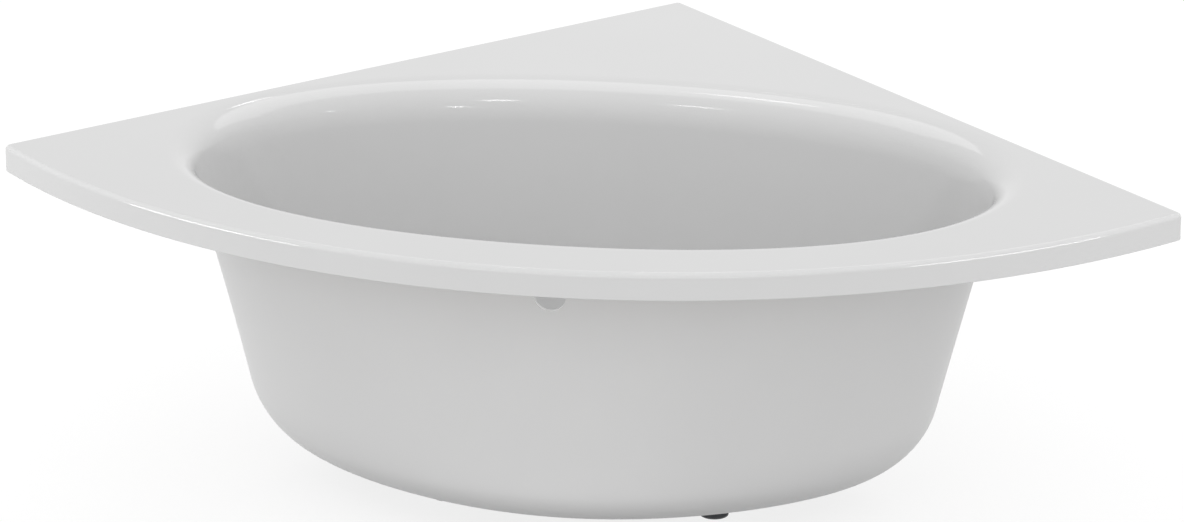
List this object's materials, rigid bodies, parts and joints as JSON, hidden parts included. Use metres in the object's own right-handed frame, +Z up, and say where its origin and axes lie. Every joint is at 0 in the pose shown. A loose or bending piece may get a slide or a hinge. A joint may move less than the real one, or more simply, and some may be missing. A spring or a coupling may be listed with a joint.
{
  "type": "corner bath",
  "caption": "Corner bath with a bowed front: moulded oval well in a broad deck with a turned-down rim, backed with laminate, on adjustable legs, with a push-to-open waste.",
  "frame": {"origin": "on the floor, under the middle of the bath's outline", "axes": "+X along the bowed front, +Y towards the wall corner, +Z up; the bowed front faces -Y"},
  "size_m": [1.9724, 1.4318, 0.57],
  "materials": {
    "white_acrylic": "glossy, moulded",
    "white_laminate": "smooth, satin",
    "base_chipboard": "raw chipboard",
    "batten_timber": "planed softwood",
    "galvanised_steel": "galvanised",
    "zinc_fasteners": "zinc plated",
    "grey_nylon": "moulded, matte",
    "chrome_brass": "chrome plated",
    "plain_brass": "turned",
    "spring_steel": "drawn wire",
    "black_rubber": "moulded"
  },
  "bodies": {
    "bath": {"acrylic_shell": "white_acrylic", "fibreglass_backing": "white_laminate", "base_board": "base_chipboard", "corner_batten_left": "batten_timber", "end_batten_left": "batten_timber", "corner_batten_right": "batten_timber", "end_batten_right": "batten_timber", "front_batten": "batten_timber", "leg_rail_left": "galvanised_steel", "leg_rail_right": "galvanised_steel", "leg_bracket_centre": "galvanised_steel", "rail_screws": "zinc_fasteners", "weld_nuts": "zinc_fasteners", "lock_nuts": "zinc_fasteners", "waste_flange": "chrome_brass", "waste_upper_washer": "black_rubber", "waste_lower_washer": "black_rubber", "waste_back_nut": "plain_brass", "plug_cartridge": "plain_brass", "cartridge_cap": "plain_brass", "plug_spring": "spring_steel"},
    "leg_front_left": {"leg_rod_front_left": "zinc_fasteners", "foot_pad_front_left": "grey_nylon"},
    "leg_front_right": {"leg_rod_front_right": "zinc_fasteners", "foot_pad_front_right": "grey_nylon"},
    "leg_rear_left": {"leg_rod_rear_left": "zinc_fasteners", "foot_pad_rear_left": "grey_nylon"},
    "leg_rear_right": {"leg_rod_rear_right": "zinc_fasteners", "foot_pad_rear_right": "grey_nylon"},
    "leg_centre": {"leg_rod_centre": "zinc_fasteners", "foot_pad_centre": "grey_nylon"},
    "plug": {"plug_cap": "chrome_brass", "plug_seal": "black_rubber", "plug_stem": "plain_brass"}
  },
  "joints": [
    {"name": "adjust_front_left", "type": "slide", "parent": "bath", "child": "leg_front_left", "axis": [0, 0, -1], "range_m": [-0.004, 0.008]},
    {"name": "adjust_front_right", "type": "slide", "parent": "bath", "child": "leg_front_right", "axis": [0, 0, -1], "range_m": [-0.004, 0.008]},
    {"name": "adjust_rear_left", "type": "slide", "parent": "bath", "child": "leg_rear_left", "axis": [0, 0, -1], "range_m": [-0.004, 0.008]},
    {"name": "adjust_rear_right", "type": "slide", "parent": "bath", "child": "leg_rear_right", "axis": [0, 0, -1], "range_m": [-0.004, 0.008]},
    {"name": "adjust_centre", "type": "slide", "parent": "bath", "child": "leg_centre", "axis": [0, 0, -1], "range_m": [-0.004, 0.008]},
    {"name": "plug_lift", "type": "slide", "parent": "bath", "child": "plug", "axis": [0, 0, 1], "range_m": [0, 0.009], "deforming": ["plug_spring"]}
  ]
}
